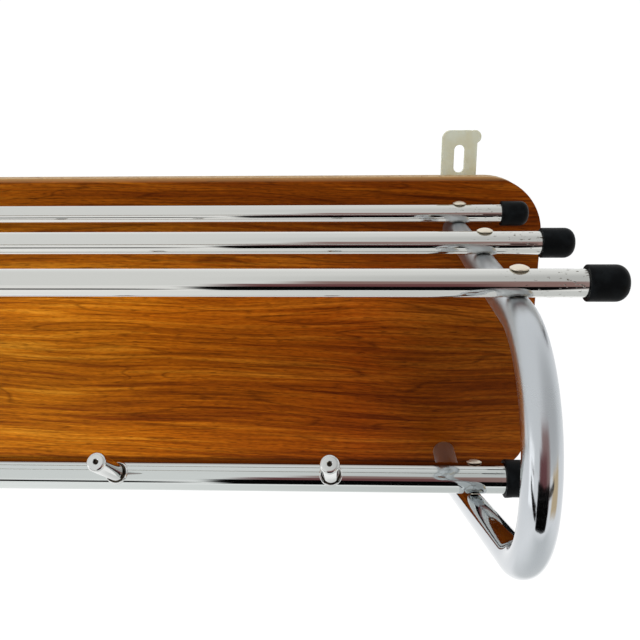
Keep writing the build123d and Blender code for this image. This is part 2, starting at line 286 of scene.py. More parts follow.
@dataclass(frozen=True)
class TeakVeneer(Finish):
    """Straight-grained teak veneer, sanded and sealed: the grain dips a little to the right."""

    heart: str = "#76340A"
    early: str = "#AE5F0F"
    pale: str = "#D98C26"
    line: str = "#4A1E06"
    rim_highlight: str = "#96754E"
    grain_dip: float = 1.4
    sway: float = 20.0
    sway_length: float = 230.0
    figure_length: float = 420.0
    figure_height: float = 30.0
    streak_length: float = 120.0
    streak_height: float = 3.4
    ring_strength: float = 0.5
    line_length: float = 80.0
    line_height: float = 1.4
    pore_length: float = 10.0
    pore_height: float = 0.8
    bump_depth: float = 0.05
    line_band: tuple[float, float] = (0.36, 0.52)
    line_share: float = 0.42
    pore_band: tuple[float, float] = (0.30, 0.44)
    pore_share: float = 0.58
    ring_steps: float = 9.0
    ring_width: float = 0.07
    dark_from: float = -50.0
    dark_full: float = 350.0
    even_from: float = 40.0
    even_full: float = 110.0
    rim_highlight_from: float = 128.8
    rim_highlight_full: float = 132.2
    rim_highlight_share: float = 0.8
    half_height: float = 132.5

    def shader(self, tree: Tree, place: Socket) -> bpy.types.Node:
        """Broad figure, streaks, growth lines and pores, with painted light that darkens the board
        to one end.
        """
        dipped = add_node(
            tree, "ShaderNodeMapping",
            {"Vector": place, "Rotation": (0.0, radians(-self.grain_dip), 0.0)},
        )
        sway = noise(
            tree, dipped.outputs[0], (self.sway_length, 80.0, 70.0), 1.0, 0.0, (4.2, 0.0, 6.6),
        )
        lift = add_node(tree, "ShaderNodeMath", {0: sway, 1: self.sway * MM}, operation="MULTIPLY")
        lifted = add_node(tree, "ShaderNodeCombineXYZ", {"Z": lift.outputs[0]})
        swayed = add_node(
            tree, "ShaderNodeVectorMath", {0: dipped.outputs[0], 1: lifted.outputs[0]},
            operation="ADD",
        )
        grain = swayed.outputs[0]
        figure = noise(
            tree, grain, (self.figure_length, 60.0, self.figure_height), 2.0, 0.4,
            (0.31, 0.0, 0.12),
        )
        streaks = noise(
            tree, grain, (self.streak_length, 40.0, self.streak_height), 4.0, 0.5, (1.7, 0.0, 5.3),
        )
        tone = add_node(tree, "ShaderNodeMix", {0: 0.55, 2: figure, 3: streaks}, data_type="FLOAT")
        ground = add_node(
            tree, "ShaderNodeValToRGB", {"Fac": tone.outputs[0]},
            stops=[(0.32, srgb(self.heart)), (0.50, srgb(self.early)), (0.68, srgb(self.pale))],
        )
        # Year rings: where the broad figure passes through even steps
        steps = add_node(
            tree, "ShaderNodeMath", {0: figure, 1: self.ring_steps}, operation="MULTIPLY",
        )
        ring = add_node(
            tree, "ShaderNodeMath", {0: steps.outputs[0], 1: 0.5}, operation="PINGPONG",
        )
        ringed = mark(
            tree, ring.outputs[0], (0.0, self.ring_width), (self.ring_strength, 0.0),
            ground.outputs[0], self.line,
        )
        # Growth lines: fine, long and uneven
        lines = noise(
            tree, grain, (self.line_length, 20.0, self.line_height), 4.0, 0.35, (0.0, 0.0, 2.9),
        )
        lined = mark(tree, lines, self.line_band, (self.line_share, 0.0), ringed, self.line)
        # Pores are about 0.3 mm wide on teak; they are drawn 0.8 mm wide so that they show
        pores = noise(
            tree, grain, (self.pore_length, 5.0, self.pore_height), 2.0, 0.0, (3.7, 0.0, 8.1),
        )
        colour = mark(tree, pores, self.pore_band, (self.pore_share, 0.0), lined, self.line)
        fibre = noise(tree, grain, (7.0, 5.0, 1.2), 3.0, 0.0, (9.2, 0.0, 1.4))
        glow = add_node(
            tree, "ShaderNodeMapRange",
            {"Value": fibre, "From Min": 0.3, "From Max": 0.7, "To Min": 1.0, "To Max": 1.46},
        )
        flecked = add_node(
            tree, "ShaderNodeVectorMath", {0: colour, "Scale": glow.outputs[0]}, operation="SCALE",
        )
        toned = add_node(
            tree, "ShaderNodeVectorMath",
            {0: flecked.outputs[0], 1: self.tone_and_painted_light(tree, place)}, operation="MULTIPLY",
        )
        # Painted highlight: a pale band along the top rim, where the lit top edge shows
        axes = add_node(tree, "ShaderNodeSeparateXYZ", {0: place})
        rim_lit = mark(
            tree, axes.outputs["Z"], (self.rim_highlight_from * MM, self.rim_highlight_full * MM),
            (0.0, self.rim_highlight_share), toned.outputs[0], self.rim_highlight,
        )
        height = add_node(tree, "ShaderNodeMath", {0: pores, 1: lines}, operation="ADD")
        bump = add_node(
            tree, "ShaderNodeBump",
            {"Height": height.outputs[0], "Distance": self.bump_depth * MM, "Strength": 0.6},
        )
        roughness = add_node(
            tree, "ShaderNodeMapRange",
            {"Value": lines, "From Min": 0.3, "From Max": 0.7, "To Min": 0.55, "To Max": 0.42},
        )
        return add_node(
            tree, "ShaderNodeBsdfPrincipled",
            {
                "Base Color": rim_lit, "Roughness": roughness.outputs[0],
                "Specular IOR Level": 0.02, "Normal": bump.outputs[0],
            },
        )

    def tone_and_painted_light(self, tree: Tree, place: Socket) -> Socket:
        """The board's tone at a place, with painted light: light falls off to the right with a
        painted sheen at the left end, painted shadow darkens a strip along the bottom edge, and it
        is darker along its top.

        Args:
            tree: The material's node tree.
            place: The Object coordinates.

        Returns:
            A tint that multiplies the colour.
        """
        axes = add_node(tree, "ShaderNodeSeparateXYZ", {0: place})
        along = add_node(
            tree, "ShaderNodeMapRange",
            {
                "Value": axes.outputs["X"], "From Min": self.dark_from * MM,
                "From Max": self.dark_full * MM,
            },
        )
        near_top = add_node(
            tree, "ShaderNodeMapRange",
            {
                "Value": axes.outputs["Z"], "From Min": self.even_from * MM,
                "From Max": self.even_full * MM, "To Max": 0.7,
            },
        )
        evened = add_node(
            tree, "ShaderNodeMix", {0: near_top.outputs[0], 2: along.outputs[0], 3: 0.55},
            data_type="FLOAT",
        )
        # Painted light: the tint falls off to the right, as light from the window side would, with
        # a painted bluish sheen at the left end
        tint = add_node(
            tree, "ShaderNodeValToRGB", {"Fac": evened.outputs[0]},
            stops=[
                (0.02, srgb("#EBF6F6")), (0.29, srgb("#D6CFB4")), (0.74, srgb("#A98E84")),
                (0.89, srgb("#938382")),
            ],
        )
        up = add_node(
            tree, "ShaderNodeMapRange",
            {
                "Value": axes.outputs["Z"], "From Min": -self.half_height * MM,
                "From Max": self.half_height * MM,
            },
        )
        # Painted shadow in the dark strip along the bottom edge above the hook rail; the veneer's
        # own broad tone bands lie between it and the top, and the top is darker
        across = add_node(
            tree, "ShaderNodeValToRGB", {"Fac": up.outputs[0]},
            stops=[
                (0.0, grey(0.18)), (0.020, grey(0.35)), (0.031, grey(0.97)), (0.12, grey(1.0)),
                (0.26, grey(0.76)), (0.40, grey(0.72)), (0.50, grey(0.80)), (0.56, grey(0.98)),
                (0.66, grey(0.95)), (0.74, grey(0.72)), (0.82, grey(0.60)), (1.0, grey(0.60)),
            ],
        )
        tone = add_node(
            tree, "ShaderNodeVectorMath", {0: tint.outputs[0], 1: across.outputs[0]},
            operation="MULTIPLY",
        )
        return tone.outputs[0]


@dataclass(frozen=True)
class Chipboard(Finish):
    """Particle board sawn, sanded and gone brown with age: chips with open gaps between them."""

    ground: str = "#A08560"
    chip: str = "#80603A"
    gap: str = "#574026"
    chip_size: float = 2.4
    gap_band: tuple[float, float] = (0.30, 0.40)
    gap_share: float = 0.8

    def shader(self, tree: Tree, place: Socket) -> bpy.types.Node:
        """Chips in three tones, with a grain of gaps between them."""
        chips = add_node(
            tree, "ShaderNodeTexVoronoi",
            {"Vector": place, "Scale": per_mm(self.chip_size), "Randomness": 1.0},
        )
        tone = add_node(tree, "ShaderNodeSeparateColor", {0: chips.outputs["Color"]})
        colour = add_node(
            tree, "ShaderNodeValToRGB", {"Fac": tone.outputs[0]},
            stops=[(0.1, srgb(self.ground)), (0.72, srgb(self.ground)), (0.9, srgb(self.chip))],
        )
        gaps = noise(tree, place, (1.5, 1.5, 1.5), 3.0)
        mixed = mark(tree, gaps, self.gap_band, (self.gap_share, 0.0), colour.outputs[0], self.gap)
        bump = add_node(
            tree, "ShaderNodeBump", {"Height": gaps, "Distance": 0.3 * MM, "Strength": 0.5},
        )
        return add_node(
            tree, "ShaderNodeBsdfPrincipled",
            {"Base Color": mixed, "Roughness": 0.82, "Normal": bump.outputs[0]},
        )


@dataclass(frozen=True)
class LinerPaper(Finish):
    """Resin-soaked balancing paper on the board's back: even brown with faint fibre clouds."""

    ground: str = "#8C6A45"
    cloud: str = "#775637"

    def shader(self, tree: Tree, place: Socket) -> bpy.types.Node:
        """Clouds of fibre over brown paper, slightly waxy."""
        clouds = noise(tree, place, (9.0, 9.0, 6.0), 6.0)
        colour = add_node(
            tree, "ShaderNodeValToRGB", {"Fac": clouds},
            stops=[(0.35, srgb(self.cloud)), (0.65, srgb(self.ground))],
        )
        fibres = noise(tree, place, (3.0, 3.0, 0.8), 3.0, 0.3)
        bump = add_node(
            tree, "ShaderNodeBump", {"Height": fibres, "Distance": 0.05 * MM, "Strength": 0.4},
        )
        return add_node(
            tree, "ShaderNodeBsdfPrincipled",
            {"Base Color": colour.outputs[0], "Roughness": 0.58, "Normal": bump.outputs[0]},
        )


@dataclass(frozen=True)
class ChromePlate(Finish):
    """Bright chromium on drawn steel tube: a clear mirror, faintly wavy, with rubbed haze.

    Years of coats leave long scuffs, and the plate pits first near the cut ends.
    """

    colour: str = "#D5D6D3"
    roughness: float = 0.045
    haze: float = 0.10
    pits_from: float = NOWHERE
    pits_full: float = NOWHERE + 1.0
    pit_spacing: float = 1.3
    wave_depth: float = 0.02
    dull_from: float = NOWHERE
    dull_full: float = NOWHERE + 1.0
    dullness: float = 0.3
    wall_dullness: float = 0.0
    reflection_tint_behind: float = NOWHERE
    reflection_tint: str = "#7E5A44"
    reflection_tint_share: float = 0.85
    reflection_tint_fade: float = 1.5
    reflection_tint_edge: float = 0.5
    pit: str = "#54483A"
    pit_crowding: float = 0.055
    pit_rim: float = 0.34
    pit_floor: float = 0.28
    wall_dull_from: float = -80.0
    wall_dull_full: float = -40.0

    def shader(self, tree: Tree, place: Socket) -> bpy.types.Node:
        """A mirror with haze in its roughness, pits by the ends and a slow wave in its skin."""
        scuffs = noise(tree, place, (60.0, 2.4, 2.4), 4.0, 0.2)
        roughness = add_node(
            tree, "ShaderNodeMapRange",
            {
                "Value": scuffs, "From Min": 0.50, "From Max": 0.78, "To Min": self.roughness,
                "To Max": self.haze,
            },
        )
        # How far out along the rack, from 0 where the pits start to 1 where they are thickest
        axes = add_node(tree, "ShaderNodeSeparateXYZ", {0: place})
        outwards = add_node(tree, "ShaderNodeMath", {0: axes.outputs["X"]}, operation="ABSOLUTE")
        near_end = add_node(
            tree, "ShaderNodeMapRange",
            {
                "Value": outwards.outputs[0], "From Min": self.pits_from * MM,
                "From Max": self.pits_full * MM,
            },
        )
        pits = noise(tree, place, (self.pit_spacing * 2.2, self.pit_spacing, self.pit_spacing), 3.0)
        crowded = add_node(
            tree, "ShaderNodeMath", {0: near_end.outputs[0], 1: -self.pit_crowding, 2: pits},
            operation="MULTIPLY_ADD",
        )
        deep = add_node(
            tree, "ShaderNodeMapRange",
            {"Value": crowded.outputs[0], "From Min": self.pit_rim, "From Max": self.pit_floor},
        )
        pitted = add_node(
            tree, "ShaderNodeMath", {0: deep.outputs[0], 1: near_end.outputs[0]},
            operation="MULTIPLY",
        )
        # Painted reflection: a brown tint on the side towards the wall stands in for the reflection
        # of the shaded board
        reflection_tinted = mark(
            tree, axes.outputs["Y"],
            ((self.reflection_tint_behind - self.reflection_tint_fade) * MM, (self.reflection_tint_behind + self.reflection_tint_edge) * MM),
            (0.0, self.reflection_tint_share), srgb(self.colour), self.reflection_tint,
        )
        colour = add_node(
            tree, "ShaderNodeMix", {0: pitted.outputs[0], 6: reflection_tinted, 7: srgb(self.pit)},
            data_type="RGBA",
        )
        # Hats and dust dull the plate towards the shelf's level
        dull = add_node(
            tree, "ShaderNodeMapRange",
            {
                "Value": axes.outputs["Z"], "From Min": self.dull_from * MM,
                "From Max": self.dull_full * MM, "To Max": self.dullness,
            },
            interpolation_type="SMOOTHSTEP",
        )
        by_wall = add_node(
            tree, "ShaderNodeMapRange",
            {
                "Value": axes.outputs["Y"], "From Min": self.wall_dull_from * MM,
                "From Max": self.wall_dull_full * MM, "To Max": self.wall_dullness,
            },
            interpolation_type="SMOOTHSTEP",
        )
        dullest = add_node(
            tree, "ShaderNodeMath", {0: dull.outputs[0], 1: by_wall.outputs[0]},
            operation="MAXIMUM",
        )
        rim_highlight = add_node(
            tree, "ShaderNodeMath", {0: roughness.outputs[0], 1: dullest.outputs[0]},
            operation="ADD",
        )
        rough = add_node(
            tree, "ShaderNodeMix", {0: pitted.outputs[0], 2: rim_highlight.outputs[0], 3: 0.5},
            data_type="FLOAT",
        )
        waves = noise(tree, place, (45.0, 9.0, 9.0), 1.0)
        wavy = add_node(
            tree, "ShaderNodeBump",
            {"Height": waves, "Distance": self.wave_depth * MM, "Strength": 1.0},
        )
        bump = add_node(
            tree, "ShaderNodeBump",
            {
                "Height": pitted.outputs[0], "Distance": 0.05 * MM, "Strength": 0.5,
                "Normal": wavy.outputs[0],
            },
            invert=True,
        )
        return add_node(
            tree, "ShaderNodeBsdfPrincipled",
            {
                "Base Color": colour.outputs[2], "Metallic": 1.0, "Roughness": rough.outputs[0],
                "Normal": bump.outputs[0],
            },
        )


@dataclass(frozen=True)
class PlainMetal(Finish):
    """A small turned or headed metal part: nickel-plated rivets and zinc-plated screws; the same
    finish also paints shade into the pegs' grooves and dimples.
    """

    colour: str = "#D8C8AC"
    stain_and_shade: str = "#8E7B5E"
    roughness: float = 0.2
    grain: float = 0.8

    def shader(self, tree: Tree, place: Socket) -> bpy.types.Node:
        """Tumbled plate with stains in patches and fine dents; where it paints the pegs' recesses,
        the patches are painted shade.
        """
        patches = noise(tree, place, (3.5, 3.5, 3.5), 4.0)
        colour = add_node(
            tree, "ShaderNodeValToRGB", {"Fac": patches},
            stops=[(0.40, srgb(self.stain_and_shade)), (0.56, srgb(self.colour))],
        )
        dents = noise(tree, place, (self.grain, self.grain, self.grain), 2.0)
        roughness = add_node(
            tree, "ShaderNodeMapRange",
            {
                "Value": dents, "From Min": 0.3, "From Max": 0.7, "To Min": self.roughness,
                "To Max": self.roughness + 0.14,
            },
        )
        bump = add_node(
            tree, "ShaderNodeBump", {"Height": dents, "Distance": 0.03 * MM, "Strength": 0.5},
        )
        return add_node(
            tree, "ShaderNodeBsdfPrincipled",
            {
                "Base Color": colour.outputs[0], "Metallic": 1.0,
                "Roughness": roughness.outputs[0], "Normal": bump.outputs[0],
            },
        )


@dataclass(frozen=True)
class DippedVinyl(Finish):
    """Moulded black vinyl, as push-on tube caps are: deep satin black with a skin of dust."""

    colour: str = "#050607"
    dust: str = "#101315"

    def shader(self, tree: Tree, place: Socket) -> bpy.types.Node:
        """Satin black with a fine moulded skin and faint dusty patches."""
        dusty = noise(tree, place, (7.0, 7.0, 7.0), 5.0)
        colour = add_node(
            tree, "ShaderNodeValToRGB", {"Fac": dusty},
            stops=[(0.45, srgb(self.colour)), (0.80, srgb(self.dust))],
        )
        skin = noise(tree, place, (0.7, 0.7, 0.7), 2.0)
        roughness = add_node(
            tree, "ShaderNodeMapRange",
            {"Value": dusty, "From Min": 0.3, "From Max": 0.7, "To Min": 0.36, "To Max": 0.52},
        )
        bump = add_node(
            tree, "ShaderNodeBump", {"Height": skin, "Distance": 0.03 * MM, "Strength": 0.5},
        )
        return add_node(
            tree, "ShaderNodeBsdfPrincipled",
            {
                "Base Color": colour.outputs[0], "Roughness": roughness.outputs[0],
                "Specular IOR Level": 0.05, "Normal": bump.outputs[0],
            },
        )


@dataclass(frozen=True)
class IvoryNylon(Finish):
    """Injection-moulded nylon that has aged from white to ivory: milky, with light inside it."""

    colour: str = "#A9AA9A"
    aged: str = "#A29C80"

    def shader(self, tree: Tree, place: Socket) -> bpy.types.Node:
        """Milky nylon, yellowed in patches, with a slightly rippled skin."""
        ageing = noise(tree, place, (14.0, 14.0, 22.0), 4.0)
        colour = add_node(
            tree, "ShaderNodeValToRGB", {"Fac": ageing},
            stops=[(0.38, srgb(self.colour)), (0.68, srgb(self.aged))],
        )
        ripples = noise(tree, place, (3.0, 3.0, 5.0), 3.0)
        bump = add_node(
            tree, "ShaderNodeBump", {"Height": ripples, "Distance": 0.25 * MM, "Strength": 0.4},
        )
        return add_node(
            tree, "ShaderNodeBsdfPrincipled",
            {
                "Base Color": colour.outputs[0], "Roughness": 0.42, "IOR": 1.53,
                "Subsurface Weight": 0.25, "Subsurface Radius": (1.0, 0.9, 0.6),
                "Subsurface Scale": 2.0 * MM, "Normal": bump.outputs[0],
            },
        )


VENEER = TeakVeneer("teak_veneer_satin")
CORE = Chipboard("chipboard_core")
LINER = LinerPaper("balancing_paper")
SHELF_CHROME = ChromePlate("hat_rail_chrome", "#D3D3CF", 0.04, 0.09, 300.0, 360.0)
HOOK_CHROME = ChromePlate("hook_rail_chrome", "#CDD1CF", 0.04, 0.09, 330.0, 360.0)
BRACKET_CHROME = ChromePlate(
    "bracket_chrome", "#C2C6CA", 0.055, 0.12, dull_from=10.0, dull_full=95.0, dullness=0.26,
    wall_dullness=0.34,
)
PEG_CHROME = ChromePlate("peg_chrome", "#D4D5D3", 0.09, 0.18)
RIVET_NICKEL = PlainMetal("nickel_rivet", "#E8D6B4", "#94764E", 0.12)
SCREW_ZINC = PlainMetal("zinc_screw", "#B9BDBE", "#8F8C80", 0.3)
PLUG_STEEL = PlainMetal("turned_plug_steel", "#A9ABAC", "#77756F", 0.34)
# Painted shade: a dark finish for the peg's collar groove and tip dimple
PEG_RECESS_SHADE = PlainMetal("peg_recess_shade", "#4C453A", "#221E19", 0.36)
CAP_VINYL = DippedVinyl("black_vinyl_cap")
HANGER_NYLON = IvoryNylon("ivory_nylon")


# ---- Mesh making -------------------------------------------------------------------------------
def place_piece(bm: Shape, name: str, finish: Finish, slot: str, *nodes: str) -> bpy.types.Object:
    """Turns a finished bmesh into a piece that rides on the rack.

    Args:
        bm: The shape, in metres, where it belongs; it is freed.
        name: The piece's name.
        finish: The finish that it wears.
        slot: Not used.
        *nodes: The CAD nodes that it stands for.

    Returns:
        The piece's object, at the origin.
    """
    for face in bm.faces:
        face.smooth = True
    for edge in bm.edges:
        edge.smooth = len(edge.link_faces) == 2 and edge.calc_face_angle(pi) < SHARP_ANGLE
    piece = make_object(bm, name, finish.material())
    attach(piece, BODY)
    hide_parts(*nodes)
    log.info("%s: %d faces for %s", name, len(piece.data.polygons), ", ".join(nodes))
    return piece


def keep_node(node: str, finish: Finish) -> None:
    """Dresses a CAD node whose shape is already right.

    Args:
        node: The CAD node's name.
        finish: The finish that it wears.
    """
    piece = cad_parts[node]
    finish.dress(piece)
    log.info("%s: CAD shape kept, dressed in %s", node, finish.name)


def edges_within(verts: list[bmesh.types.BMVert]) -> list[bmesh.types.BMEdge]:
    """The edges that run between two of the vertices."""
    chosen = set(verts)
    return list({e for v in verts for e in v.link_edges if e.other_vert(v) in chosen})


def settle(bm: Shape) -> None:
    """Merges doubles, then turns every face outwards."""
    bmesh.ops.remove_doubles(bm, verts=bm.verts[:], dist=1e-6)
    bmesh.ops.recalc_face_normals(bm, faces=bm.faces[:])


def axis_frame(direction: Vector, origin: Vector) -> Matrix:
    """The matrix that stands local Z along a direction square to X, or along X itself.

    Args:
        direction: Where local Z points, a unit vector.
        origin: Where the local origin goes.

    Returns:
        A turn and a move; local X stays along world X unless local Z takes it.
    """
    across = Vector((0, 1, 0)) if abs(direction.x) > 0.5 else Vector((1, 0, 0))
    turn = Matrix((across, direction.cross(across), direction)).transposed()
    return Matrix.Translation(origin) @ turn.to_4x4()


class Lathe:
    """A profile drawn in the XZ plane, then turned about Z. Sizes are in millimetres."""

    def __init__(self, radius: float, height: float) -> None:
        """Starts the profile at one point."""
        self.bm = bmesh.new()
        self.tip = self.bm.verts.new((radius * MM, 0.0, height * MM))

    def line(self, radius: float, height: float) -> "Lathe":
        """Runs the profile straight to a point.

        Args:
            radius: The point's distance from the axis.
            height: Its place along the axis.

        Returns:
            This lathe, for the next stroke.
        """
        made = bmesh.ops.extrude_vert_indiv(self.bm, verts=[self.tip])
        self.tip = made["verts"][0]
        self.tip.co = (radius * MM, 0.0, height * MM)
        return self

    def arc(self, radius: float, height: float, degrees: float, steps: int = 8) -> "Lathe":
        """Swings the profile about a centre.

        Args:
            radius: The centre's distance from the axis.
            height: The centre's place along the axis.
            degrees: The swing, anticlockwise seen with the axis up and the radius to the right.
            steps: Chords in the arc.

        Returns:
            This lathe, for the next stroke.
        """
        made = bmesh.ops.spin(
            self.bm, geom=[self.tip], cent=(radius * MM, 0.0, height * MM), axis=(0.0, -1.0, 0.0),
            angle=radians(degrees), steps=steps,
        )
        self.tip = next(g for g in made["geom_last"] if isinstance(g, bmesh.types.BMVert))
        return self

    def turn(self, segments: int, matrix: Matrix | None = None) -> Shape:
        """Turns the profile once about Z and puts the solid in its place.

        Args:
            segments: Facets round the axis.
            matrix: Where local space goes, or None to leave it.

        Returns:
            The closed solid.
        """
        bmesh.ops.spin(
            self.bm, geom=self.bm.verts[:] + self.bm.edges[:], cent=(0.0, 0.0, 0.0),
            axis=(0.0, 0.0, 1.0), angle=2 * pi, steps=segments, use_merge=True,
        )
        settle(self.bm)
        if matrix is not None:
            bmesh.ops.transform(self.bm, matrix=matrix, verts=self.bm.verts[:])
        return self.bm


class TubeBender:
    """Draws a tube along a path in a plane square to X, as a bending machine feeds it."""

    def __init__(self, radius: float, start: Vector, heading: Vector, segments: int) -> None:
        """Sets the first ring at the tube's start, in metres.

        Args:
            radius: The tube's outer radius.
            start: The centre of its first end.
            heading: The direction that it leaves in, square to X.
            segments: Facets round the tube.
        """
        self.bm = bmesh.new()
        self.at = start.copy()
        self.heading = heading.normalized()
        made = bmesh.ops.create_circle(
            self.bm, radius=radius, segments=segments, matrix=axis_frame(self.heading, self.at),
        )
        self.ring = made["verts"] + edges_within(made["verts"])

    def feed(self, length: float, step: float) -> None:
        """Runs the tube straight.

        Args:
            length: How far.
            step: The most that two rings stand apart.
        """
        count = max(1, round(length / step))
        made = bmesh.ops.spin(
            self.bm, geom=self.ring, cent=self.at, axis=(1.0, 0.0, 0.0),
            dvec=self.heading * (length / count), angle=0.0, steps=count,
        )
        self.ring = made["geom_last"]
        self.at += self.heading * length

    def bend(self, radius: float, angle: float, step: float) -> None:
        """Bends the tube about X, to the left of its heading.

        Args:
            radius: The bend's radius on the centreline.
            angle: How far round, in radians.
            step: The most that two rings stand apart along the centreline.
        """
        count = max(2, round(radius * angle / step))
        inward = Vector((1, 0, 0)).cross(self.heading)
        centre = self.at + inward * radius
        made = bmesh.ops.spin(
            self.bm, geom=self.ring, cent=centre, axis=(1.0, 0.0, 0.0), angle=angle, steps=count,
        )
        self.ring = made["geom_last"]
        turn = Matrix.Rotation(angle, 3, "X")
        self.at = centre + turn @ (self.at - centre)
        self.heading = turn @ self.heading

    def walled(self, wall: float) -> Shape:
        """Gives the skin a wall inwards.

        Args:
            wall: The wall's thickness.

        Returns:
            The hollow tube.
        """
        settle(self.bm)
        bmesh.ops.solidify(self.bm, geom=self.bm.faces[:], thickness=wall)
        return self.bm


# ---- The board ---------------------------------------------------------------------------------
@dataclass
class Board:
    """The veneered board: face veneer made new, with an eased edge; core and liner kept."""

    top_corner_radius: float = 48.0
    bottom_corner_radius: float = 24.0
    corner_segments: int = 40
    eased_edge: float = 0.5

    def build(self) -> None:
        """Makes the face veneer and dresses the core and the liner."""
        self.face_veneer()
        keep_node("board_core", CORE)
        keep_node("back_liner", LINER)

    def face_veneer(self) -> bpy.types.Object:
        """Cuts the veneer with round corners and eases its front edge.

        Returns:
            The veneer's piece.
        """
        low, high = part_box("front_veneer")
        size = high - low
        bm = bmesh.new()
        bmesh.ops.create_grid(
            bm, x_segments=1, y_segments=1, size=0.5,
            matrix=axis_frame(Vector((0, 1, 0)), Vector()),
        )
        bmesh.ops.scale(bm, vec=(size.x, 1.0, size.z), verts=bm.verts[:])
        bmesh.ops.translate(
            bm, vec=((low.x + high.x) / 2, high.y, (low.z + high.z) / 2), verts=bm.verts[:],
        )
        for corner in bm.verts[:]:
            top = corner.co.z > 0
            radius = self.top_corner_radius if top else self.bottom_corner_radius
            bmesh.ops.bevel(
                bm, geom=[corner], offset=radius * MM, offset_type="OFFSET",
                segments=self.corner_segments, profile=0.5, affect="VERTICES", material=-1,
            )
        made = bmesh.ops.extrude_face_region(bm, geom=bm.faces[:])
        front = [g for g in made["geom"] if isinstance(g, bmesh.types.BMVert)]
        bmesh.ops.translate(bm, vec=(0.0, -size.y, 0.0), verts=front)
        settle(bm)
        rim = [e for e in edges_within(front) if len(e.link_faces) == 2]
        bmesh.ops.bevel(
            bm, geom=rim, offset=self.eased_edge * MM, offset_type="OFFSET", segments=3,
            profile=0.5, affect="EDGES", material=-1,
        )
        return place_piece(bm, "face_veneer_panel", VENEER, "teak_veneer", "front_veneer")


# ---- The brackets ------------------------------------------------------------------------------
@dataclass
class Bracket:
    """One bent tube: out from the board, round the shoulder, down the nose and back to its heel."""

    side: Side
    wall: float = 1.5
    lower_arm_angle: float = 20.15
    heel_length: float = 47.0
    heel_radius: float = 60.0
    chin_radius: float = 56.0
    nose_straight: float = 1.0
    ring_step: float = 1.6
    seat_softness: float = 0.45
    seat_clearance: float = 0.05

    def build(self) -> None:
        """Bends the tube, beds the rails into it and dresses the plugs in its ends."""
        node = f"bracket_{self.side.word}"
        low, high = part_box(node)
        radius = (high.x - low.x) / 2
        slope = radians(self.lower_arm_angle)
        arm_height, foot_height = high.z - radius, low.z + radius
        nose_y, heel_y = low.y + radius, high.y - self.heel_length * MM
        run = heel_y - nose_y
        chin_height = foot_height + run * tan(slope)
        chin_tangent = self.chin_radius * MM * tan((pi / 2 - slope) / 2)
        heel_tangent = self.heel_radius * MM * tan(slope / 2)
        nose = self.nose_straight * MM
        shoulder = arm_height - chin_height - chin_tangent - nose
        step = self.ring_step * MM

        start = Vector(((low.x + high.x) / 2, high.y, arm_height))
        tube = TubeBender(radius, start, Vector((0, -1, 0)), SMALL_ROUND_SEGMENTS)
        tube.feed(high.y - nose_y - shoulder, step)
        tube.bend(shoulder, pi / 2, step)
        tube.feed(nose, step)
        tube.bend(self.chin_radius * MM, pi / 2 - slope, step)
        tube.feed(run / cos(slope) - chin_tangent - heel_tangent, step)
        tube.bend(self.heel_radius * MM, slope, step)
        tube.feed(self.heel_length * MM - heel_tangent, step)
        self.bed_rails(tube.bm)
        place_piece(
            tube.walled(self.wall * MM), f"{node}_tube", BRACKET_CHROME, "chromed_tube", node,
        )
        for end in ("upper", "lower"):
            keep_node(f"tube_plug_{self.side.word}_{end}", PLUG_STEEL)

    def bed_rails(self, bm: Shape) -> None:
        """Presses a saddle into the tube under each rail, as the riveting does.

        Args:
            bm: The tube's outer skin.
        """
        soft = self.seat_softness * MM
        for node in [f"hat_rail_{shelf.value}" for shelf in Shelf] + ["hook_rail"]:
            low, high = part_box(node)
            centre = (low + high) / 2
            clear = (high.z - low.z) / 2 + self.seat_clearance * MM
            for vert in bm.verts:
                away = Vector((0.0, vert.co.y - centre.y, vert.co.z - centre.z))
                gap = away.length - clear
                if gap < 4 * soft:
                    eased = (gap + sqrt(gap * gap + soft * soft)) / 2
                    vert.co += away.normalized() * (eased - gap)


# ---- Rails and caps ----------------------------------------------------------------------------
@dataclass
class Rail:
    """A straight chromed tube along the rack."""

    node: str
    finish: Finish
    wall: float = 1.2
    ring_step: float = 25.0

    def build(self) -> bpy.types.Object:
        """Draws the tube from end to end.

        Returns:
            The rail's piece.
        """
        low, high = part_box(self.node)
        centre = (low + high) / 2
        radius = (high.z - low.z) / 2
        tube = TubeBender(
            radius, Vector((low.x, centre.y, centre.z)), Vector((1, 0, 0)), ROUND_SEGMENTS,
        )
        tube.feed(high.x - low.x, self.ring_step * MM)
        return place_piece(
            tube.walled(self.wall * MM), f"{self.node}_tube", self.finish, "chromed_tube",
            self.node,
        )


@dataclass
class EndCap:
    """A push-on cap: a bored barrel with a rolled lip and a domed end."""

    node: str
    side: Side
    wall: float
    rounding: float
    end_thickness: float = 2.5
    lip: float = 0.6
    flare: float = 0.0
    flare_start: float = 1.5
    flare_end: float = 5.0

    def build(self) -> bpy.types.Object:
        """Turns the cap's section about the rail's axis.

        Returns:
            The cap's piece.
        """
        low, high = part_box(self.node)
        centre = (low + high) / 2
        outward = self.side.value
        mouth_x = low.x if outward > 0 else high.x
        length = (high.x - low.x) / MM
        outer = (high.z - low.z) / 2 / MM
        bore = outer - self.wall
        dome, lip = self.rounding, self.lip
        waist = outer - self.flare
        lathe = Lathe(0.0, length - self.end_thickness)
        lathe.line(bore, length - self.end_thickness)
        lathe.line(bore, lip / 2)
        lathe.line(bore + lip / 2, 0.0)
        lathe.line(outer - lip, 0.0)
        lathe.arc(outer - lip, lip, 90.0, 5)
        lathe.line(outer, lip + self.flare_start)
        lathe.line(waist, lip + self.flare_end)
        lathe.line(waist, length - dome)
        lathe.arc(waist - dome, length - dome, 90.0, 14)
        lathe.line((waist - dome) / 2, length)
        lathe.line(0.0, length)
        matrix = axis_frame(Vector((outward, 0, 0)), Vector((mouth_x, centre.y, centre.z)))
        return place_piece(
            lathe.turn(ROUND_SEGMENTS, matrix), f"{self.node}_moulding", CAP_VINYL,
            "black_plastic", self.node,
        )


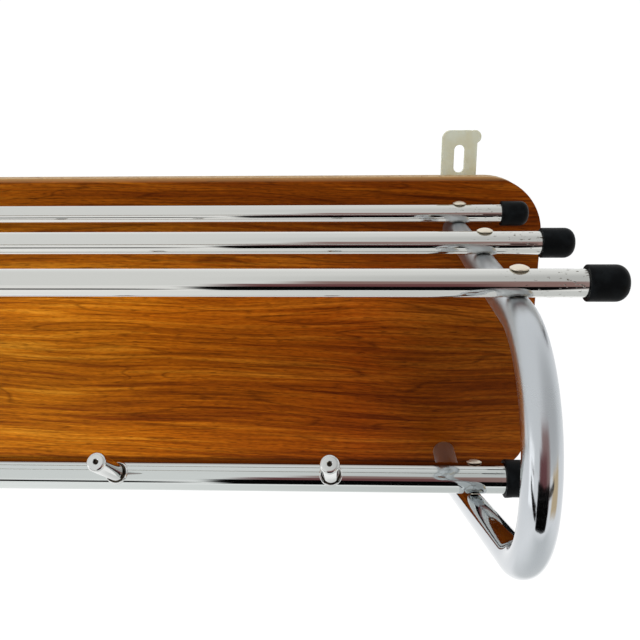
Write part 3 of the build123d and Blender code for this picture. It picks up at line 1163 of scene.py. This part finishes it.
# ---- Rivets ------------------------------------------------------------------------------------
@dataclass
class Rivet:
    """A headed rivet: a low dome above the rail, a shank, and a set tail under the arm."""

    head_diameter: float = 10.2
    head_height: float = 2.4
    rim_height: float = 0.8
    shank_diameter: float = 5.0
    tail_diameter: float = 7.0
    tail_height: float = 1.8
    rim_round: float = 0.35
    tail_chamfer: float = 0.4
    tail_set_height: float = 0.7
    tail_set_width: float = 0.9

    def solid(self, grip: float, matrix: Matrix) -> Shape:
        """Turns one rivet.

        Args:
            grip: From the head's underside to the tail.
            matrix: Where the head's underside goes, and which way it faces.

        Returns:
            The rivet.
        """
        half = self.head_diameter / 2
        rise = self.head_height - self.rim_height
        sphere = (half * half + rise * rise) / (2 * rise)
        swing = degrees(asin(half / sphere))
        lathe = Lathe(0.0, self.head_height)
        lathe.arc(0.0, self.head_height - sphere, -swing, 12)
        lathe.line(half, self.rim_round)
        lathe.line(half - self.rim_round, 0.0)
        shank, tail = self.shank_diameter / 2, self.tail_diameter / 2
        end = -grip - self.tail_height
        lathe.line(shank, 0.0)
        lathe.line(shank, -grip)
        lathe.line(tail - self.tail_chamfer, -grip)
        lathe.line(tail, -grip - self.tail_chamfer)
        lathe.line(tail, end + self.tail_set_height)
        lathe.line(tail - self.tail_set_width, end)
        lathe.line(0.0, end)
        return lathe.turn(SMALL_ROUND_SEGMENTS, matrix)


def join(parts: list[Shape]) -> Shape:
    """Puts several solids into one bmesh.

    Args:
        parts: The solids; they are freed.

    Returns:
        One bmesh that holds them all.
    """
    whole = bmesh.new()
    for part in parts:
        mesh = bpy.data.meshes.new("part")
        part.to_mesh(mesh)
        part.free()
        whole.from_mesh(mesh)
        bpy.data.meshes.remove(mesh)
    return whole


# ---- Coat pegs ---------------------------------------------------------------------------------
@dataclass
class CoatPeg:
    """A turned peg that grows out of the hook rail and swells to a flat, dimpled tip."""

    number: int
    angle: float = 38.0
    reach: float = 56.0
    tip_diameter: float = 12.8
    root_diameter: float = 11.4
    tip_round: float = 2.2
    dimple_diameter: float = 3.4
    dimple_depth: float = 1.6
    collar_diameter: float = 16.0
    collar_bore: float = 13.8
    collar_height: float = 1.1
    collar_floor: float = 0.5
    collar_round: float = 0.35
    groove_round: float = 0.2
    dimple_lip: float = 0.3
    dimple_lip_depth: float = 0.25

    def build(self) -> bpy.types.Object:
        """Turns the peg and saddles its root to the rail.

        Returns:
            The peg's piece.
        """
        node = f"coat_peg_{self.number}"
        low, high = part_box(node)
        rail_low, rail_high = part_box("hook_rail")
        axis = (rail_low + rail_high) / 2
        rail_radius = (rail_high.z - rail_low.z) / 2
        tip, root, edge = self.tip_diameter / 2, self.root_diameter / 2, self.tip_round
        dimple = self.dimple_diameter / 2
        rim, bore = self.collar_diameter / 2, self.collar_bore / 2
        rise, floor = self.collar_height, self.collar_floor
        ease, groove = self.collar_round, self.groove_round
        lathe = Lathe(0.0, 0.0)
        for radius in (root, bore, rim - ease, rim):
            lathe.line(radius, 0.0)
        lathe.line(rim, rise - ease)
        lathe.line(rim - ease, rise)
        lathe.line(bore + groove, rise)
        lathe.line(bore, rise - groove)
        lathe.line(bore, floor)
        lathe.line(root + groove, floor)
        lathe.line(root, floor + groove)
        lathe.line(tip, self.reach - edge)
        lathe.arc(tip - edge, self.reach - edge, 90.0, 8)
        lathe.line(dimple + self.dimple_lip, self.reach)
        lathe.line(dimple, self.reach - self.dimple_lip_depth)
        lathe.line(0.0, self.reach - self.dimple_depth)
        bm = lathe.turn(SMALL_ROUND_SEGMENTS)
        # The collar's groove and the tip's dimple get the second material, which paints shade into
        # these recesses
        for face in bm.faces:
            widths = [v.co.to_2d().length / MM for v in face.verts]
            heights = [v.co.z / MM for v in face.verts]
            in_groove = min(heights) > 0.1 and max(heights) <= rise and max(widths) < bore + 0.1
            in_dimple = min(heights) > self.reach - 5 and max(widths) < dimple + 0.1
            face.material_index = int(in_groove or in_dimple)
        for vert in bm.verts:
            if vert.co.z <= self.collar_height * MM:
                across = min(abs(vert.co.y), rail_radius)
                vert.co.z += sqrt(rail_radius * rail_radius - across * across)
        out = Vector((0, -cos(radians(self.angle)), sin(radians(self.angle))))
        foot = Vector(((low.x + high.x) / 2, axis.y, axis.z))
        bmesh.ops.transform(bm, matrix=axis_frame(out, foot), verts=bm.verts[:])
        piece = place_piece(bm, f"{node}_turning", PEG_CHROME, "chromed_peg", node)
        piece.data.materials.append(PEG_RECESS_SHADE.material())
        return piece


# ---- The whole rack ----------------------------------------------------------------------------
@dataclass
class CoatRack:
    """The rack: its board, brackets, rails, caps, rivets, pegs, hangers and screws."""

    shelf_cap_wall: float = 2.2
    shelf_cap_rounding: float = 6.6
    hook_cap_wall: float = 2.6
    hook_cap_rounding: float = 7.5
    hook_cap_flare: float = 0.35
    lower_arm_angle: float = 20.15
    rail_seat_depth: float = 1.1
    hook_seat_depth: float = 0.3
    reflection_tint_lead: float = 2.0

    def build(self) -> None:
        """Builds every sub-assembly in the order that the bench would."""
        Board().build()
        for side in Side:
            Bracket(side, lower_arm_angle=self.lower_arm_angle).build()
            self.hanger(side)
        for shelf in Shelf:
            Rail(f"hat_rail_{shelf.value}", SHELF_CHROME).build()
            for side in Side:
                EndCap(
                    f"hat_rail_cap_{shelf.value}_{side.word}", side, self.shelf_cap_wall,
                    self.shelf_cap_rounding,
                ).build()
        low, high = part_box("hook_rail")
        # The hook rail's painted reflection tint starts a little in front of its axis
        reflection_tint_line = (low.y + high.y) / 2 / MM - self.reflection_tint_lead
        Rail("hook_rail", replace(HOOK_CHROME, reflection_tint_behind=reflection_tint_line)).build()
        for side in Side:
            EndCap(
                f"hook_rail_cap_{side.word}", side, self.hook_cap_wall, self.hook_cap_rounding,
                flare=self.hook_cap_flare,
            ).build()
        self.rivets()
        for number in range(1, 5):
            CoatPeg(number).build()
        for node in ("bracket_screws", "hanger_screws", "peg_screws"):
            keep_node(node, SCREW_ZINC)

    def hanger(self, side: Side) -> None:
        """Dresses one moulded hanger."""
        keep_node(f"hanger_{side.word}", HANGER_NYLON)

    def rivets(self) -> None:
        """Sets a rivet where each rail crosses each bracket."""
        slope = radians(self.lower_arm_angle)
        planes = [sum(c.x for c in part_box(f"bracket_{side.word}")) / 2 for side in Side]
        arm = self.width("bracket_right")
        upper = []
        for shelf in Shelf:
            low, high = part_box(f"hat_rail_{shelf.value}")
            rail = (high.z - low.z) / MM
            for x in planes:
                seat = axis_frame(Vector((0, 0, 1)), Vector((x, (low.y + high.y) / 2, high.z)))
                upper.append(Rivet().solid(rail + arm - self.rail_seat_depth, seat))
        place_piece(
            join(upper), "hat_rail_rivet_set", RIVET_NICKEL, "nickel_rivet", "hat_rail_rivets",
        )
        low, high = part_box("hook_rail")
        centre = (low + high) / 2
        radius = (high.z - low.z) / 2
        normal = Vector((0, sin(slope), cos(slope)))
        lower = [
            Rivet().solid(
                2 * radius / MM + arm - self.hook_seat_depth,
                axis_frame(normal, Vector((x, centre.y, centre.z)) + normal * radius),
            )
            for x in planes
        ]
        place_piece(
            join(lower), "hook_rail_rivet_set", RIVET_NICKEL, "nickel_rivet", "hook_rail_rivets",
        )

    def width(self, node: str) -> float:
        """A node's width along X, in millimetres."""
        low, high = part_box(node)
        return (high.x - low.x) / MM


# ---- Studio ------------------------------------------------------------------------------------
@dataclass
class Card:
    """A soft-edged card that only shows in reflections: it gives the chrome something to mirror."""

    name: str
    centre: Point
    size: tuple[float, float]
    facing: Point
    colour: str
    strength: float = 1.0
    softness: tuple[float, float] = (0.1, 0.1)
    wobble: float = 0.0

    def build(self) -> None:
        """Stands the card in the studio, unseen by the camera and by matt surfaces."""
        bm = bmesh.new()
        bm.loops.layers.uv.new("card")
        aim = (Vector(self.facing) - Vector(self.centre)).to_track_quat("Z", "Y")
        bmesh.ops.create_grid(bm, x_segments=1, y_segments=1, size=0.5, calc_uvs=True)
        bmesh.ops.scale(bm, vec=(self.size[0], self.size[1], 1.0), verts=bm.verts[:])
        matrix = Matrix.Translation(Vector(self.centre)) @ aim.to_matrix().to_4x4()
        bmesh.ops.transform(bm, matrix=matrix, verts=bm.verts[:])
        card = make_object(bm, self.name, self.material())
        for ray in ("camera", "diffuse", "shadow", "transmission", "volume_scatter"):
            setattr(card, f"visible_{ray}", False)

    def material(self) -> bpy.types.Material:
        """A glow that fades out towards the card's edges.

        Returns:
            The card's material.
        """
        made = bpy.data.materials.new(self.name)
        tree = empty_tree(made)
        flat = add_node(tree, "ShaderNodeTexCoord").outputs["UV"]
        ripple = add_node(
            tree, "ShaderNodeTexNoise", {"Vector": flat, "Scale": 3.0, "Detail": 2.0},
        )
        centred = add_node(
            tree, "ShaderNodeVectorMath", {0: ripple.outputs["Color"], 1: (0.5, 0.5, 0.5)},
            operation="SUBTRACT",
        )
        moved = add_node(
            tree, "ShaderNodeVectorMath",
            {0: centred.outputs[0], 1: (self.wobble, self.wobble, 0.0), 2: flat},
            operation="MULTIPLY_ADD",
        )
        axes = add_node(tree, "ShaderNodeSeparateXYZ", {0: moved.outputs[0]})
        fades = []
        for axis, softness in zip("XY", self.softness):
            inset = add_node(
                tree, "ShaderNodeMath", {0: axes.outputs[axis], 1: 0.5}, operation="PINGPONG",
            )
            fade = add_node(
                tree, "ShaderNodeMapRange", {"Value": inset.outputs[0], "From Max": softness},
                interpolation_type="SMOOTHSTEP",
            )
            fades.append(fade.outputs[0])
        body = add_node(tree, "ShaderNodeMath", {0: fades[0], 1: fades[1]}, operation="MULTIPLY")
        glow = add_node(
            tree, "ShaderNodeEmission", {"Color": srgb(self.colour), "Strength": self.strength},
        )
        clear = add_node(tree, "ShaderNodeBsdfTransparent")
        card = add_node(
            tree, "ShaderNodeMixShader",
            {0: body.outputs[0], 1: clear.outputs[0], 2: glow.outputs[0]},
        )
        add_node(tree, "ShaderNodeOutputMaterial", {"Surface": card.outputs[0]})
        return made


# What the chrome mirrors: dark and rose cards in front, thin ones beside them, and bright ones at
# the ends. Places and sizes are in metres.
CARDS = (
    Card(
        "dark_flag", (0.29, -0.80, -0.25), (0.58, 0.47), (0.29, 0.0, -0.25), "#050505",
        softness=(0.09, 0.06), wobble=0.16,
    ),
    Card(
        "maroon_flag", (0.25, -0.83, 0.03), (0.44, 0.40), (0.25, 0.0, 0.03), "#784C4E",
        softness=(0.2, 0.25), wobble=0.2,
    ),
    Card(
        "rose_flag", (0.38, -0.86, 0.065), (0.56, 0.93), (0.38, 0.0, 0.065), "#9C7E7A",
        softness=(0.22, 0.2), wobble=0.14,
    ),
    Card(
        "dull_ground", (0.60, -0.45, -1.0), (2.4, 1.8), (0.60, -0.45, 0.0), "#E6E8E8",
        softness=(0.45, 0.2), wobble=0.1,
    ),
    Card(
        "skirting_strip", (-0.66, -0.86, -0.36), (1.30, 0.24), (-0.66, 0.0, -0.36), "#14110F",
        softness=(0.08, 0.20), wobble=0.4,
    ),
    Card(
        "picture_rail", (-0.90, -0.90, -0.08), (0.9, 0.10), (-0.90, 0.0, -0.08), "#807C78",
        softness=(0.10, 0.25), wobble=0.3,
    ),
    Card(
        "door_line", (0.74, -0.86, -0.13), (0.60, 0.13), (0.74, 0.0, -0.13), "#4A4642",
        softness=(0.12, 0.25), wobble=0.3,
    ),
    Card(
        "window_card", (-1.3, -0.95, -0.25), (1.0, 1.3), (0.3, -0.3, 0.0), "#FFFFFF", 1.5,
        softness=(0.12, 0.12), wobble=0.05,
    ),
    Card(
        "warm_card", (1.25, -0.85, -0.30), (0.9, 0.75), (0.3, -0.3, 0.0), "#E0C9A4",
        softness=(0.25, 0.25), wobble=0.15,
    ),
)


@dataclass
class Studio:
    """A white studio: pale floor, bright all round, a window side, and a few cards."""

    floor_height: float = -1.3
    floor_size: float = 30.0
    surround: float = 0.92
    surround_behind: float = 1.06
    surround_drop: float = 0.30
    floor_grey: float = 0.3
    floor_glow: float = 0.76

    def build(self) -> None:
        """Sets up the world, the floor, the lights and the cards."""
        bpy.context.scene.view_settings.view_transform = "Standard"
        self.world()
        self.floor()
        self.lamp("window_light", (-1.1, -1.3, 0.55), (0.05, -0.05, 0.0), 1.0, 20.0)
        self.lamp("sky_light", (0.0, -0.7, 1.6), (0.0, -0.1, 0.0), 1.6, 16.0)
        for card in CARDS:
            card.build()

    def world(self) -> None:
        """A white surround, duller to the front right and brightest behind the rack."""
        world = bpy.data.worlds.new("white_surround")
        bpy.context.scene.world = world
        tree = empty_tree(world)
        way = add_node(tree, "ShaderNodeTexCoord").outputs["Generated"]
        behind = add_node(
            tree, "ShaderNodeVectorMath", {0: way, 1: (0.0, 1.0, 0.0)}, operation="DOT_PRODUCT",
        )
        dull = add_node(
            tree, "ShaderNodeVectorMath", {0: way, 1: (0.66, -0.5, 0.56)}, operation="DOT_PRODUCT",
        )
        lift = add_node(
            tree, "ShaderNodeMapRange",
            {
                "Value": behind.outputs["Value"], "From Min": 0.3, "From Max": 0.9,
                "To Min": self.surround, "To Max": self.surround_behind,
            },
            interpolation_type="SMOOTHSTEP",
        )
        drop = add_node(
            tree, "ShaderNodeMapRange",
            {
                "Value": dull.outputs["Value"], "From Min": 0.55, "From Max": 0.98,
                "To Max": self.surround_drop,
            },
            interpolation_type="SMOOTHSTEP",
        )
        strength = add_node(
            tree, "ShaderNodeMath", {0: lift.outputs[0], 1: drop.outputs[0]}, operation="SUBTRACT",
        )
        background = add_node(
            tree, "ShaderNodeBackground",
            {"Color": (0.99, 1.0, 1.0, 1.0), "Strength": strength.outputs[0]},
        )
        add_node(tree, "ShaderNodeOutputWorld", {"Surface": background.outputs[0]})

    def floor(self) -> None:
        """Lays a plain white floor well below the rack."""
        bm = bmesh.new()
        bmesh.ops.create_grid(bm, x_segments=1, y_segments=1, size=self.floor_size / 2)
        bmesh.ops.translate(bm, vec=(0.0, 0.0, self.floor_height), verts=bm.verts[:])
        material = bpy.data.materials.new("floor_paint")
        tree = empty_tree(material)
        paint = add_node(
            tree, "ShaderNodeBsdfPrincipled",
            {
                "Base Color": grey(self.floor_grey), "Roughness": 0.9, "Specular IOR Level": 0.0,
                "Emission Color": WHITE, "Emission Strength": self.floor_glow,
            },
        )
        add_node(tree, "ShaderNodeOutputMaterial", {"Surface": paint.outputs[0]})
        floor = make_object(bm, "studio_floor", material)

    def lamp(self, name: str, at: Point, aim: Point, size: float, power: float) -> None:
        """Hangs a square soft light that lights surfaces but doesn't show in reflections.

        Args:
            name: The light's name.
            at: Where it hangs, in metres.
            aim: The point that it faces.
            size: The length of its side, in metres.
            power: Its power, in watts.
        """
        light = bpy.data.lights.new(name, "AREA")
        light.shape = "SQUARE"
        light.size = size
        light.energy = power
        lamp = bpy.data.objects.new(name, light)
        lamp.location = at
        lamp.rotation_mode = "QUATERNION"
        lamp.rotation_quaternion = (Vector(aim) - Vector(at)).to_track_quat("-Z", "Y")
        lamp.visible_camera = False
        lamp.visible_glossy = False
        bpy.context.scene.collection.objects.link(lamp)


@dataclass
class ViewPoint:
    """The camera: right of the middle, above the shelf, looking down a little."""

    location: Point = (0.2357, -0.6225, 0.2061)
    turned_left: float = 2.20
    tilted_down: float = 17.90
    rolled: float = -0.54
    lens: float = 41.2
    sensor: float = 36.0

    def build(self) -> None:
        """Makes the camera and gives it to the scene."""
        data = bpy.data.cameras.new("camera")
        data.lens = self.lens
        data.sensor_width = self.sensor
        data.clip_start = 0.01
        data.clip_end = 100.0
        camera = bpy.data.objects.new("camera", data)
        turn = (
            Matrix.Rotation(radians(self.turned_left), 4, "Z")
            @ Matrix.Rotation(radians(90 - self.tilted_down), 4, "X")
            @ Matrix.Rotation(radians(self.rolled), 4, "Z")
        )
        camera.matrix_world = Matrix.Translation(Vector(self.location)) @ turn
        bpy.context.scene.collection.objects.link(camera)
        bpy.context.scene.camera = camera


def main() -> None:
    """Builds the rack and the studio, and sets the camera."""
    logging.basicConfig(level=logging.INFO, format="%(name)s: %(message)s")
    CoatRack().build()
    Studio().build()
    ViewPoint().build()


if __name__ == "__main__":
    main()
